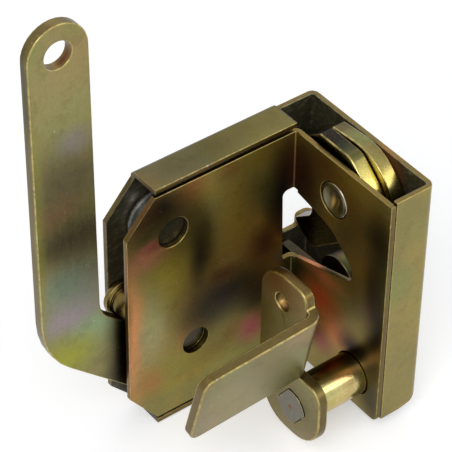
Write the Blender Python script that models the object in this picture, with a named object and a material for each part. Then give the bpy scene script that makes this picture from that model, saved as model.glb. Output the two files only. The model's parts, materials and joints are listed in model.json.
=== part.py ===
"""Rotary latch for a cab door, at rest with the claw open.

A folded casing and a folded cover plate hold a two layer claw, a pawl on a release shaft with an inner
lever, and an outer arm whose finger lifts the release cam. Lengths are in metres.

Lock coordinates start at the inner top corner of the cover plate: X towards that corner along the wide
panel, Y away from its front, Z up. The model's own origin is on the fixing face of the casing.
"""

import math

import bmesh
import bpy
from mathutils import Matrix, Vector, geometry

# Sheet metal and fits
SHEET = 0.0021
FIT = 0.0003
INNER_BEND = 0.0009
COVER_BEND = 0.0005
ARC_STEP = math.radians(11.25)

# Cover plate: the wide panel lies along X, the side panel along Y
PANEL_WIDTH = 0.0720
PANEL_HEIGHT = 0.1044
SIDE_DEPTH = 0.0510
SIDE_HEIGHT = 0.1024
CHAMFER_X = 0.0120
CHAMFER_Z = 0.0134
LOW_CHAMFER_Z = 0.0160
SIDE_CORNER_R = 0.0030

# Casing: the space between the panels, its flanges and its walls
ARM_SPACE = 0.0100
FLANGE_RISE = 0.0035
FLANGE_DROP = 0.0031
FLANGE_END_X = 0.0005
WALL_RISE = 0.0010
WALL_DROP = 0.1020
END_LIFT = 0.0036
END_SLOPE_X = 0.0100
END_KNEE = (-0.0030, 0.0010)
END_KNEE_R = 0.0045

# Striker mouth
MOUTH_TOP = 0.0254
MOUTH_BOTTOM = 0.0576
MOUTH_SHOULDER = (0.0005, -0.0133)
MOUTH_SHOULDER_R = 0.0200
MOUTH_END = (-0.0168, -0.0287)
MOUTH_END_R = 0.0050
MOUTH_LIP_Y = 0.0007
MOUTH_LIP_R = 0.0030
MOUTH_LEFT = 0.0048
MOUTH_LEFT_LOW = 0.0040
MOUTH_LEFT_R = 0.0022
BACK_MOUTH_X = 0.0050
BACK_MOUTH_BOTTOM = 0.0585
BACK_MOUTH_R = 0.0018
BACK_STEP_X = 0.0125
BACK_STEP_Z = 0.0535
WALL_MOUTH_Y = -0.0120

# Claw: two plates side by side on one rivet
ROTOR_SETBACK = 0.00205
ROTOR_AXIS = ((SHEET + ARM_SPACE - SIDE_DEPTH) / 2 - ROTOR_SETBACK, -0.0166)
THRUST_THICK = 0.0005
HOOK_THICK = 0.0059
RATCHET_THICK = 0.0055
ROTOR_SPRING_WIRE = 0.0015
SPRING_PLAY = 0.0004
HOOK_HUB_R = 0.0175
NOSE_CLEARANCE = 0.0036
HOOK_NOSE_R = SHEET + ARM_SPACE - ROTOR_AXIS[0] - NOSE_CLEARANCE
HOOK_JAW_R = HOOK_NOSE_R + 0.0064
HOOK_JAW_CORNER_R = 0.0030
HOOK_TOP_RISE = 0.0196
HOOK_TOP_FRONT = 0.0125
HOOK_TOP_BACK = -0.0035
HOOK_BACK_R = 0.0060
NOSE_CORNER_R = 0.0025
RATCHET_R = 0.0205
NOTCH_R = 0.0165
NOTCH_CORNER_R = 0.0015
RATCHET_NOSE_R = HOOK_NOSE_R - 0.0030
RATCHET_CORNER = (0.0133, 0.0192)
CATCH_ANGLE = 5
SLOT_WIDTH = 0.0110
SLOT_ANGLE = 51.5
SLOT_END_R = HOOK_NOSE_R - 0.0033
SLOT_SETBACK = 0.0008
NOSE_TOP_ANGLE = 104
JAW_BACK_ANGLE = 22
PIVOT_HEAD_R = 0.00685
PIVOT_SHANK_R = 0.0050
SLEEVE_WALL = 0.0022
THRUST_R = 0.0120
CLAW_RIVET_R = 0.0023
CLAW_RIVET_PITCH_R = 0.0126
CLAW_RIVET_ANGLES = (-150, -30)
HEAD_DOME = 0.0004
TAIL_HEAD_R = 0.0085
TAIL_HEAD_THICK = 0.0023
ROTOR_SPRING_LEGS = (0.0130, 0.0090)

# Release shaft with its cam, pawl and lever
SHAFT_AXIS = (0.0144 - SIDE_DEPTH, -0.0882)
SHAFT_R = 0.0082
SHAFT_HOLE_PLAY = 0.0005
SPIGOT_R = 0.0050
D_RADIUS = 0.0075
D_FLAT = 0.0056
D_TURN = 35
PEEN_STAND = 0.0003
PEEN_HEAD_R = 0.0063
PEEN_HEAD_THICK = 0.0012
END_WASHER_R = 0.0090
END_WASHER_THICK = 0.0012
CAM_THICK = 0.0040
CAM_PLAY = 0.0005
CAM_HUB_R = 0.0112
CAM_TAIL_END_PLAY = 0.0005
CAM_TAIL_TOP = -0.0600
CAM_TAIL_UNDER = -0.0660
CAM_TAIL_R = 0.0015
CAM_NECK_Y = 0.0030
CAM_CREST = (0.0291, 0.0171)
CAM_CREST_RISE = 0.0015
CAM_CREST_R = 0.0070
CAM_BACK = (0.0001, 0.0162)
CAM_BACK_R = 0.0100
PAWL_HUB_R = 0.0118
PAWL_ARM_LEFT = ROTOR_AXIS[0] - 0.0168
PAWL_ARM_RIGHT = ROTOR_AXIS[0] - 0.0112
PAWL_NECK_R = 0.0060
PAWL_CROOK_R = 0.0040
SHOULDER_CENTRE = (SHAFT_AXIS[0] + 0.0221, -0.0632)
SHOULDER_R = 0.0090
SHAFT_SPRING_WIRE = 0.0010
SHAFT_SPRING_LEGS = (0.0120, 0.0080)

# Release lever: side plate, bend and finger paddle
LEVER_THICK = 0.0040
LEVER_OUT_X = -0.0280
LEVER_BEND = 0.0020
PADDLE_TILT = 12
PADDLE_TURN = 3.5
PADDLE_ORIGIN = (SHAFT_AXIS[0] - 0.0094, -0.0500)
PADDLE_TOP = 0.0120
PADDLE_BOTTOM = 0.0200
PADDLE_END_X = -0.0757
PADDLE_CORNER_R = 0.0045
LEVER_HOLE = (SHAFT_AXIS[0] + 0.0072, -0.0430)
LEVER_HOLE_R = 0.0035
LEVER_LEFT_Y = SHAFT_AXIS[0] + 0.0189
LEVER_TOP_Z = -0.0312
LEVER_LOBE_R = 0.0117
LEVER_SHOULDER = (0.0008, 0.0040)
LEVER_FOOT_R = 0.0139
LEVER_FOOT_DROP = 0.0129
LEVER_FOOT_LEAN = (0.0013, 0.0008)
LEVER_HEEL_R = 0.0130
LEVER_WAIST_R = 0.0080
LEVER_LIP = (0.0022, 0.0026)
LEVER_LIP_R = 0.0012
LEVER_NECK_DROP = 0.0032
LEVER_NECK_R = 0.0060

# Outer arm and what carries it
ARM_AXIS = (0.0290 - PANEL_WIDTH, -0.0754)
ARM_THICK = 0.0042
ARM_FRONT_PLAY = 0.0024
ARM_WIDTH = 0.0238
ARM_LEFT_X = -PANEL_WIDTH - 0.0322
ARM_EYE_Z = 0.0717
ARM_EYE_R = 0.00515
ARM_END_R = 0.0115
ARM_ELBOW_Z = -0.0530
ARM_ELBOW_R = 0.0340
ARM_HEEL = (0.0058, 0.0010)
ARM_HEEL_R = 0.0120
ARM_CROOK_X = 0.0085
ARM_CROOK_Z = -0.0445
ARM_CROOK_R = 0.0110
ARM_HUB_R = 0.0150
FINGER_END_X = 0.0080
FINGER_DEPTH = 0.0105
FINGER_ROOT = (0.0080, 0.0050)
FINGER_ROOT_R = 0.0060
FINGER_TIP_R = (0.0030, 0.0020)
STUD_R = 0.0050
STUD_COLLAR_R = 0.0070
RIVET_TAIL_R = 0.0040
ARM_WASHER_R = 0.0090
ARM_SPRING_WIRE = 0.0012
ARM_SPRING_LEGS = (0.0120, 0.0160)
STUD_CHAMFER = 0.0008
STOP_AXIS = (0.0050 - PANEL_WIDTH, -0.0485)
STOP_R = 0.0056
STOP_TIP_R = 0.0044
STOP_COLLAR_R = 0.0074
BOSS_AXIS = (0.0194 - PANEL_WIDTH, -0.0189)
BOSS_R = 0.0112
UPPER_HOLE_R = 0.00625
LOWER_HOLE_R = 0.00565

# Fixing face
FIXING_POINT_X = -0.0360
FIXING_POINT_Z = -0.0520

# Places that follow from the sizes
BACK_IN = SHEET + ARM_SPACE
BACK_OUT = BACK_IN + SHEET
OUTER_BEND = INNER_BEND + SHEET
THRUST_X = SHEET + FIT
HOOK_X = THRUST_X + THRUST_THICK + FIT
RATCHET_X = HOOK_X + HOOK_THICK + FIT
RATCHET_END_X = RATCHET_X + RATCHET_THICK
WALL_IN = RATCHET_END_X + ROTOR_SPRING_WIRE + 2 * SPRING_PLAY
WALL_OUT = WALL_IN + SHEET
CAM_X = SHEET + CAM_PLAY
CAM_END_X = CAM_X + CAM_THICK
CAM_TAIL_Y = BACK_IN - CAM_TAIL_END_PLAY
HOOK_TOP = ROTOR_AXIS[1] + HOOK_TOP_RISE
LEVER_IN_X = LEVER_OUT_X + LEVER_THICK
ARM_Y = SHEET + ARM_FRONT_PLAY
ARM_BACK_Y = ARM_Y + ARM_THICK
FINGER_TOP = CAM_TAIL_UNDER - FIT
SLEEVE_BORE = PIVOT_SHANK_R + FIT
SLEEVE_R = SLEEVE_BORE + SLEEVE_WALL
ROTOR_BORE = SLEEVE_R + FIT
LOCK_ORIGIN = Vector((-FIXING_POINT_X, -BACK_OUT, -FIXING_POINT_Z))


def clear_scene():
    for thing in list(bpy.data.objects):
        bpy.data.objects.remove(thing, do_unlink=True)


def metal(name, colour, roughness, metallic=1.0):
    made = bpy.data.materials.new(name)
    made.use_nodes = True
    made.diffuse_color = (*colour, 1)
    shader = made.node_tree.nodes["Principled BSDF"]
    shader.inputs["Base Color"].default_value = (*colour, 1)
    shader.inputs["Roughness"].default_value = roughness
    shader.inputs["Metallic"].default_value = metallic
    return made


def joint_empty(name, place, parent=None):
    empty = bpy.data.objects.new(name, None)
    empty.empty_display_size = 0.01
    empty.location = place
    empty.parent = parent
    bpy.context.collection.objects.link(empty)
    return empty


def pivot_of(parent):
    """Where the parent stands in lock coordinates."""
    return parent.location if parent.parent else Vector((0, 0, 0))


def add_mesh(name, shape, material, parent):
    """A node from a bmesh in lock coordinates, carried by its joint's empty."""
    bmesh.ops.recalc_face_normals(shape, faces=shape.faces)
    bmesh.ops.translate(shape, verts=shape.verts, vec=-pivot_of(parent))
    mesh = bpy.data.meshes.new(name)
    shape.to_mesh(mesh)
    shape.free()
    mesh.materials.append(material)
    mesh.shade_smooth()
    mesh.set_sharp_from_angle(angle=math.radians(30))
    thing = bpy.data.objects.new(name, mesh)
    thing.parent = parent
    bpy.context.collection.objects.link(thing)
    return thing


def boolean(target, name, shape, parent, operation="DIFFERENCE"):
    """Cuts or joins a hidden shape with a node."""
    cutter = add_mesh(name, shape, target.data.materials[0], parent)
    cutter.hide_render = True
    cutter.display_type = "WIRE"
    change = target.modifiers.new(name, "BOOLEAN")
    change.operation = operation
    change.solver = "EXACT"
    change.object = cutter


def even_faces(thing):
    """Joins the flat pieces that cuts leave behind, and splits them again into evener triangles."""
    join = thing.modifiers.new("join_flat_pieces", "DECIMATE")
    join.decimate_type = "DISSOLVE"
    join.angle_limit = math.radians(0.1)
    split = thing.modifiers.new("split_evenly", "TRIANGULATE")
    split.quad_method = "BEAUTY"
    split.ngon_method = "BEAUTY"


def rounded(corners):
    """Closed outline from corners given as (a, b, radius): each radius becomes an arc."""
    points = []
    for index, (a, b, radius) in enumerate(corners):
        corner = Vector((a, b))
        if radius == 0:
            points.append(corner)
            continue
        back = (Vector(corners[index - 1][:2]) - corner).normalized()
        ahead = (Vector(corners[(index + 1) % len(corners)][:2]) - corner).normalized()
        half = back.angle(ahead) / 2
        centre = corner + (back + ahead).normalized() * radius / math.sin(half)
        start = corner + back * radius / math.tan(half) - centre
        turn = math.pi - 2 * half
        if back.x * ahead.y - back.y * ahead.x > 0:
            turn = -turn
        steps = max(2, math.ceil(abs(turn) / ARC_STEP))
        for step in range(steps + 1):
            points.append(centre + Matrix.Rotation(turn * step / steps, 2) @ start)
    return points


def polar(centre, radius, degrees):
    """Point about a centre, with the angle from straight down towards +Y."""
    angle = math.radians(degrees)
    return Vector((centre[0] + radius * math.sin(angle), centre[1] - radius * math.cos(angle)))


def arc(centre, radius, start, end):
    """Corners without a radius of their own along an arc, ready for rounded()."""
    steps = max(2, math.ceil(math.radians(abs(end - start)) / ARC_STEP))
    places = [polar(centre, radius, start + (end - start) * step / steps) for step in range(steps + 1)]
    return [(place.x, place.y, 0) for place in places]


def circle(centre, radius):
    return [Vector(corner[:2]) for corner in arc(centre, radius, 0, 360)[:-1]]


def across(axis, point, height):
    """A point of a plane across an axis: (Y, Z) across X, or (X, Z) across Y."""
    if axis == "X":
        return Vector((height, point[0], point[1]))
    return Vector((point[0], height, point[1]))


def plate(axis, low, high, outline, holes=()):
    """Flat plate with an outline and holes, between two heights along its axis."""
    shape = bmesh.new()
    loops = [outline, *holes]
    flat = [point for loop in loops for point in loop]
    bottom = [shape.verts.new(across(axis, point, low)) for point in flat]
    top = [shape.verts.new(across(axis, point, high)) for point in flat]
    for triangle in geometry.tessellate_polygon([[point.to_3d() for point in loop] for loop in loops]):
        shape.faces.new([top[index] for index in triangle])
        shape.faces.new([bottom[index] for index in reversed(triangle)])
    first = 0
    for loop in loops:
        for index in range(len(loop)):
            here = first + index
            after = first + (index + 1) % len(loop)
            shape.faces.new((bottom[here], bottom[after], top[after], top[here]))
        first += len(loop)
    bmesh.ops.recalc_face_normals(shape, faces=shape.faces)
    return shape


def turned(axis, centre, profile, ring=False, sides=32):
    """Turned piece from (height, radius) points. A ring closes on itself, a solid ends on its axis."""
    shape = bmesh.new()
    rows = []
    for height, radius in profile:
        if radius == 0:
            rows.append([shape.verts.new(across(axis, centre, height))] * sides)
            continue
        rim = [polar(centre, radius, 360 * side / sides) for side in range(sides)]
        rows.append([shape.verts.new(across(axis, point, height)) for point in rim])
    if ring:
        rows.append(rows[0])
    for low, high in zip(rows, rows[1:]):
        for side in range(sides):
            after = (side + 1) % sides
            corners = [low[side], low[after], high[after], high[side]]
            shape.faces.new(list(dict.fromkeys(corners)))
    return shape


def washer(axis, centre, low, high, bore, radius):
    return turned(axis, centre, [(low, bore), (high, bore), (high, radius), (low, radius)], ring=True)


def face_at(shape, place):
    """The face whose middle is nearest to a place."""
    return min(shape.faces, key=lambda face: (face.calc_center_median() - Vector(place)).length)


def push(shape, face, matrix):
    """Carries an end face on by one step and walls the sides behind it."""
    rim = list(face.verts)
    moved = [shape.verts.new(matrix @ vertex.co) for vertex in rim]
    shape.faces.remove(face)
    for index in range(len(rim)):
        after = (index + 1) % len(rim)
        shape.faces.new((rim[index], rim[after], moved[after], moved[index]))
    return shape.faces.new(moved)


def fold(shape, face, pivot, axis, degrees):
    """Bends the sheet on from an end face, about a bend axis through the pivot."""
    steps = math.ceil(math.radians(abs(degrees)) / ARC_STEP / 1.5)
    turn = Matrix.Rotation(math.radians(degrees) / steps, 4, Vector(axis))
    shift = Matrix.Translation(Vector(pivot))
    for _ in range(steps):
        face = push(shape, face, shift @ turn @ shift.inverted())
    return face


def run_on(shape, face, vector):
    """Runs the sheet straight on from an end face."""
    return push(shape, face, Matrix.Translation(Vector(vector)))


def mouth_outline(far_y, bottom, flat_from):
    """Striker mouth seen along X, open towards +Y."""
    shoulder = Vector(ROTOR_AXIS) + Vector(MOUTH_SHOULDER)
    end = Vector(ROTOR_AXIS) + Vector(MOUTH_END)
    return rounded(
        [
            (far_y, -MOUTH_TOP, 0),
            (*shoulder, MOUTH_SHOULDER_R),
            (*end, MOUTH_END_R),
            (flat_from, -bottom, MOUTH_LIP_R),
            (far_y, -bottom, 0),
        ]
    )


def make_cover_plate(material, parent):
    bend_x = -COVER_BEND
    step_x = -3 * COVER_BEND - SHEET
    outline = rounded(
        [
            (-PANEL_WIDTH + CHAMFER_X, 0, 0),
            (bend_x, 0, 0),
            (bend_x, -SIDE_HEIGHT, 0),
            (step_x, -SIDE_HEIGHT, 0),
            (step_x, -PANEL_HEIGHT, 0),
            (-PANEL_WIDTH + CHAMFER_X, -PANEL_HEIGHT, 0),
            (-PANEL_WIDTH, -PANEL_HEIGHT + LOW_CHAMFER_Z, 0),
            (-PANEL_WIDTH, -CHAMFER_Z, 0),
        ]
    )
    holes = [circle(BOSS_AXIS, UPPER_HOLE_R), circle(ARM_AXIS, LOWER_HOLE_R)]
    shape = plate("Y", 0, SHEET, outline, holes)
    edge = face_at(shape, (bend_x, SHEET / 2, -SIDE_HEIGHT / 2))
    edge = fold(shape, edge, (-COVER_BEND, -COVER_BEND, 0), (0, 0, 1), -90)
    run_on(shape, edge, (0, COVER_BEND - SIDE_DEPTH, 0))
    cover = add_mesh("cover_plate", shape, material, parent)
    side_mouth = plate("X", -COVER_BEND, SHEET * 2, mouth_outline(SHEET * 2, MOUTH_BOTTOM, MOUTH_LIP_Y))
    boolean(cover, "cut_side_mouth", side_mouth, parent)
    front_mouth = rounded(
        [
            (-MOUTH_LEFT, -MOUTH_TOP, MOUTH_LEFT_R),
            (SHEET, -MOUTH_TOP, 0),
            (SHEET, -MOUTH_BOTTOM, 0),
            (-MOUTH_LEFT_LOW, -MOUTH_BOTTOM, MOUTH_LEFT_R / 2),
        ]
    )
    boolean(cover, "cut_front_mouth", plate("Y", -SHEET, SHEET * 2, front_mouth), parent)
    head = turned("X", ROTOR_AXIS, solid_rod(-SHEET, SHEET * 2, PIVOT_HEAD_R + FIT))
    boolean(cover, "cut_pivot_hole", head, parent)
    shaft = turned("X", SHAFT_AXIS, solid_rod(-SHEET, SHEET * 2, SHAFT_R + SHAFT_HOLE_PLAY))
    boolean(cover, "cut_shaft_hole", shaft, parent)
    corner = rounded_corner_cutter(-SIDE_DEPTH, -SIDE_HEIGHT, SIDE_CORNER_R)
    boolean(cover, "cut_side_corner", plate("X", -SHEET, SHEET * 2, corner), parent)
    return cover


def rounded_corner_cutter(a, b, radius):
    """Outline of what a rounded lower corner takes away at (a, b), on the side of larger a."""
    rim = [
        Vector((a + radius - radius * math.cos(angle), b + radius - radius * math.sin(angle)))
        for angle in (math.pi / 2 * step / 6 for step in range(7))
    ]
    outside = [(a + radius, b - radius), (a - radius, b - radius), (a - radius, b + radius)]
    return [*rim, *(Vector(corner) for corner in outside)]


def lifted_end_cutter():
    """Outline of what the raised lower edge of the outer wall takes away, seen along Y."""
    low = -WALL_DROP - SHEET
    return rounded(
        [
            (WALL_OUT - END_SLOPE_X, low, 0),
            (WALL_OUT - END_SLOPE_X, -WALL_DROP - FIT, 0),
            (WALL_OUT + END_KNEE[0], -WALL_DROP + END_KNEE[1], END_KNEE_R),
            (WALL_OUT + END_KNEE[0] / 3, -WALL_DROP + END_LIFT, 0),
            (WALL_OUT + SHEET, -WALL_DROP + END_LIFT, 0),
            (WALL_OUT + SHEET, low, 0),
        ]
    )


def solid_rod(low, high, radius):
    return [(low, 0), (low, radius), (high, radius), (high, 0)]


def make_casing(material, parent):
    left = -PANEL_WIDTH
    fold_top = FLANGE_RISE - OUTER_BEND
    fold_bottom = -PANEL_HEIGHT - FLANGE_DROP + OUTER_BEND
    fold_right = WALL_OUT - OUTER_BEND
    outline = rounded(
        [
            (left + CHAMFER_X, fold_top, 0),
            (FLANGE_END_X, fold_top, 0),
            (FLANGE_END_X, WALL_RISE, 0),
            (fold_right, WALL_RISE, 0),
            (fold_right, -WALL_DROP, 0),
            (FLANGE_END_X, -WALL_DROP, 0),
            (FLANGE_END_X, fold_bottom, 0),
            (left + CHAMFER_X, fold_bottom, 0),
            (left, -PANEL_HEIGHT + CHAMFER_Z, 0),
            (left, -CHAMFER_Z, 0),
        ]
    )
    holes = [circle(axis, RIVET_TAIL_R + FIT) for axis in (BOSS_AXIS, ARM_AXIS, STOP_AXIS)]
    shape = plate("Y", BACK_IN, BACK_OUT, outline, holes)
    middle_x = (left + CHAMFER_X + FLANGE_END_X) / 2
    middle_y = (BACK_IN + BACK_OUT) / 2
    bend_y = BACK_OUT - OUTER_BEND
    top = face_at(shape, (middle_x, middle_y, fold_top))
    top = fold(shape, top, (0, bend_y, fold_top), (1, 0, 0), 90)
    run_on(shape, top, (0, -bend_y, 0))
    bottom = face_at(shape, (middle_x, middle_y, fold_bottom))
    bottom = fold(shape, bottom, (0, bend_y, fold_bottom), (1, 0, 0), -90)
    run_on(shape, bottom, (0, -bend_y, 0))
    wall = face_at(shape, (fold_right, middle_y, (WALL_RISE - WALL_DROP) / 2))
    wall = fold(shape, wall, (fold_right, bend_y, 0), (0, 0, 1), -90)
    end_y = OUTER_BEND - SIDE_DEPTH
    wall = run_on(shape, wall, (0, end_y - bend_y, 0))
    wall = fold(shape, wall, (fold_right, end_y, 0), (0, 0, 1), -90)
    run_on(shape, wall, (SHEET + FIT - fold_right, 0, 0))
    casing = add_mesh("casing", shape, material, parent)
    beyond = BACK_OUT + SHEET
    wall_mouth = mouth_outline(beyond, BACK_STEP_Z, WALL_MOUTH_Y)
    boolean(casing, "cut_wall_mouth", plate("X", BACK_STEP_X, WALL_OUT + SHEET, wall_mouth), parent)
    back_mouth = rounded(
        [
            (BACK_MOUTH_X, -MOUTH_TOP, BACK_MOUTH_R),
            (BACK_STEP_X + SHEET, -MOUTH_TOP, 0),
            (BACK_STEP_X + SHEET, -BACK_STEP_Z, 0),
            (BACK_STEP_X, -BACK_STEP_Z, BACK_MOUTH_R),
            (BACK_STEP_X, -BACK_MOUTH_BOTTOM, BACK_MOUTH_R / 2),
            (BACK_MOUTH_X, -BACK_MOUTH_BOTTOM, BACK_MOUTH_R),
        ]
    )
    boolean(casing, "cut_back_mouth", plate("Y", BACK_IN - SHEET, beyond, back_mouth), parent)
    rivet = turned("X", ROTOR_AXIS, solid_rod(WALL_IN - SHEET, WALL_OUT + SHEET, PIVOT_SHANK_R + FIT))
    boolean(casing, "cut_pivot_end", rivet, parent)
    spigot = turned("X", SHAFT_AXIS, solid_rod(WALL_IN - SHEET, WALL_OUT + SHEET, SPIGOT_R + FIT))
    boolean(casing, "cut_spigot_hole", spigot, parent)
    lower_edge = plate("Y", -SIDE_DEPTH - SHEET, beyond, lifted_end_cutter())
    boolean(casing, "cut_lower_edge", lower_edge, parent)
    even_faces(casing)
    return casing


def slot_point(along, offset):
    """A point of the claw's striker slot, along and beside its centre line."""
    angle = math.radians(SLOT_ANGLE)
    way = Vector((math.sin(angle), -math.cos(angle)))
    side = Vector((math.cos(angle), math.sin(angle)))
    return Vector(ROTOR_AXIS) + way * along + side * offset


def at_radius(radius, offset):
    """How far along the slot a line beside it meets a circle about the claw's axis."""
    return math.sqrt(radius**2 - offset**2)


def claw_rivet_places():
    return [polar(ROTOR_AXIS, CLAW_RIVET_PITCH_R, degrees) for degrees in CLAW_RIVET_ANGLES]


def make_hook_plate(material, parent):
    half = SLOT_WIDTH / 2
    jaw_front = SLOT_ANGLE - math.degrees(math.asin(half / HOOK_JAW_R))
    nose_front = SLOT_ANGLE + math.degrees(math.asin(half / HOOK_NOSE_R))
    slot_end = slot_point(SLOT_END_R, 0)
    jaw_rim = arc(ROTOR_AXIS, HOOK_JAW_R, JAW_BACK_ANGLE, jaw_front)
    nose_rim = arc(ROTOR_AXIS, HOOK_NOSE_R, nose_front, NOSE_TOP_ANGLE)
    hub_rim = arc(ROTOR_AXIS, HOOK_HUB_R, -145, -20)
    slot_rim = arc(slot_end, half, SLOT_ANGLE - 90, SLOT_ANGLE - 270)
    outline = rounded(
        [
            (*jaw_rim[0][:2], HOOK_JAW_CORNER_R),
            *jaw_rim[1:-1],
            (*jaw_rim[-1][:2], SLOT_SETBACK),
            *slot_rim,
            (*nose_rim[0][:2], NOSE_CORNER_R * 0.8),
            *nose_rim[2:-2],
            (*nose_rim[-1][:2], NOSE_CORNER_R),
            (ROTOR_AXIS[0] + HOOK_TOP_FRONT, HOOK_TOP, SLOT_SETBACK),
            (ROTOR_AXIS[0] + HOOK_TOP_BACK, HOOK_TOP, HOOK_BACK_R),
            *hub_rim,
        ]
    )
    holes = [circle(ROTOR_AXIS, ROTOR_BORE)]
    holes += [circle(place, CLAW_RIVET_R + FIT) for place in claw_rivet_places()]
    shape = plate("X", HOOK_X, HOOK_X + HOOK_THICK, outline, holes)
    return add_mesh("rotor_hook_plate", shape, material, parent)


def make_ratchet_plate(material, parent):
    flank = SLOT_WIDTH / 2 + SLOT_SETBACK
    inner = slot_point(at_radius(NOTCH_R, flank), flank)
    nose_front = SLOT_ANGLE + math.degrees(math.asin(flank / RATCHET_NOSE_R))
    inner_angle = SLOT_ANGLE + math.degrees(math.asin(flank / NOTCH_R))
    notch_rim = arc(ROTOR_AXIS, NOTCH_R, CATCH_ANGLE, inner_angle)
    nose_rim = arc(ROTOR_AXIS, RATCHET_NOSE_R, nose_front, NOSE_TOP_ANGLE + 5)
    corner = Vector(RATCHET_CORNER)
    corner_angle = 180 - math.degrees(math.atan2(corner.x, corner.y))
    tangent = corner_angle + math.degrees(math.acos(RATCHET_R / corner.length))
    outline = rounded(
        [
            *notch_rim[:-1],
            (*inner, NOTCH_CORNER_R),
            (*nose_rim[0][:2], NOTCH_CORNER_R),
            *nose_rim[2:-2],
            (*nose_rim[-1][:2], NOSE_CORNER_R * 0.8),
            (*(Vector(ROTOR_AXIS) + corner), SLOT_SETBACK),
            *arc(ROTOR_AXIS, RATCHET_R, tangent, 360 + CATCH_ANGLE),
        ]
    )
    holes = [circle(ROTOR_AXIS, ROTOR_BORE)]
    holes += [circle(place, CLAW_RIVET_R + FIT) for place in claw_rivet_places()]
    shape = plate("X", RATCHET_X, RATCHET_END_X, outline, holes)
    return add_mesh("rotor_ratchet_plate", shape, material, parent)


def make_claw_rivets(material, parent):
    for name, place in zip(("rotor_rivet_upper", "rotor_rivet_lower"), claw_rivet_places()):
        low = HOOK_X + FIT
        high = RATCHET_END_X - FIT
        shape = turned("X", place, solid_rod(low, high, CLAW_RIVET_R), sides=16)
        add_mesh(name, shape, material, parent)


def make_rotor_pivot(steel, dark, parent):
    tail_x = WALL_OUT + FIT
    profile = [
        (-HEAD_DOME, 0),
        (-HEAD_DOME * 0.9, PIVOT_HEAD_R * 0.5),
        (-HEAD_DOME * 0.5, PIVOT_HEAD_R * 0.8),
        (HEAD_DOME * 0.3, PIVOT_HEAD_R),
        (SHEET, PIVOT_HEAD_R),
        (SHEET, PIVOT_SHANK_R),
        (tail_x, PIVOT_SHANK_R),
        (tail_x, TAIL_HEAD_R),
        (tail_x + TAIL_HEAD_THICK * 0.4, TAIL_HEAD_R * 0.94),
        (tail_x + TAIL_HEAD_THICK * 0.8, TAIL_HEAD_R * 0.6),
        (tail_x + TAIL_HEAD_THICK, 0),
    ]
    add_mesh("rotor_pivot_rivet", turned("X", ROTOR_AXIS, profile), steel, parent)
    sleeve = washer("X", ROTOR_AXIS, SHEET + FIT, WALL_IN - FIT, SLEEVE_BORE, SLEEVE_R)
    add_mesh("rotor_spacer_sleeve", sleeve, dark, parent)
    thrust = washer("X", ROTOR_AXIS, THRUST_X, THRUST_X + THRUST_THICK, ROTOR_BORE, THRUST_R)
    add_mesh("rotor_thrust_washer", thrust, dark, parent)


def wire(name, points, thickness, material, parent):
    """Round spring wire along points in lock coordinates."""
    curve = bpy.data.curves.new(name, "CURVE")
    curve.dimensions = "3D"
    curve.bevel_depth = thickness / 2
    curve.bevel_resolution = 2
    curve.use_fill_caps = True
    curve.materials.append(material)
    spline = curve.splines.new("POLY")
    spline.points.add(len(points) - 1)
    for target, point in zip(spline.points, points):
        target.co = (*(point - pivot_of(parent)), 1)
    thing = bpy.data.objects.new(name, curve)
    thing.parent = parent
    bpy.context.collection.objects.link(thing)
    return thing


def torsion_spring(axis, centre, middle, radius, pitch, turns, start, legs, side=1):
    """Coil points with a straight leg that leaves each end along the tangent."""
    steps = math.ceil(turns * 20)
    low = middle - pitch * turns / 2
    points = []
    for step in range(steps + 1):
        degrees = start + side * 360 * turns * step / steps
        points.append(across(axis, polar(centre, radius, degrees), low + pitch * turns * step / steps))
    leg_ends = []
    for degrees, height, way, length in (
        (start, low, -side, legs[0]),
        (start + side * 360 * turns, low + pitch * turns, side, legs[1]),
    ):
        tangent = polar((0, 0), 1, degrees + 90 * way)
        leg_ends.append(across(axis, polar(centre, radius, degrees) + tangent * length, height))
    return [leg_ends[0], *points, leg_ends[1]]


def make_rotor_spring(material, parent):
    radius = SLEEVE_R + SPRING_PLAY + ROTOR_SPRING_WIRE / 2
    middle = (RATCHET_END_X + WALL_IN) / 2
    points = torsion_spring("X", ROTOR_AXIS, middle, radius, 0, 0.6, -60, ROTOR_SPRING_LEGS, side=-1)
    wire("rotor_spring", points, ROTOR_SPRING_WIRE, material, parent)


def double_d(play):
    """The flatted end of the shaft, seen along X."""
    half = math.degrees(math.acos(D_FLAT / D_RADIUS))
    rims = [circle_part(half, 180 - half, play), circle_part(180 + half, 360 - half, play)]
    return [point for rim in rims for point in rim]


def circle_part(start, end, play):
    places = arc(SHAFT_AXIS, D_RADIUS + play, start - 90 + D_TURN, end - 90 + D_TURN)
    return [Vector(place[:2]) for place in places]


def make_release_shaft(material, parent):
    shoulder = LEVER_IN_X + FIT
    washer_x = WALL_OUT + FIT
    head_x = washer_x + END_WASHER_THICK + FIT
    chamfer = STUD_CHAMFER / 2
    profile = [
        (shoulder, 0),
        (shoulder, SHAFT_R - chamfer),
        (shoulder + chamfer, SHAFT_R),
        (WALL_IN - FIT, SHAFT_R),
        (WALL_IN - FIT, SPIGOT_R),
        (head_x, SPIGOT_R),
        (head_x, PEEN_HEAD_R),
        (head_x + PEEN_HEAD_THICK * 0.6, PEEN_HEAD_R),
        (head_x + PEEN_HEAD_THICK, PEEN_HEAD_R * 0.75),
        (head_x + PEEN_HEAD_THICK, 0),
    ]
    shaft = add_mesh("release_shaft", turned("X", SHAFT_AXIS, profile, sides=40), material, parent)
    end = plate("X", LEVER_OUT_X - PEEN_STAND, shoulder + SHEET, double_d(0))
    boolean(shaft, "join_flatted_end", end, parent, "UNION")
    return shaft


def make_shaft_end_washer(material, parent):
    low = WALL_OUT + FIT
    shape = washer("X", SHAFT_AXIS, low, low + END_WASHER_THICK, SPIGOT_R + FIT, END_WASHER_R)
    add_mesh("shaft_end_washer", shape, material, parent)


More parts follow.
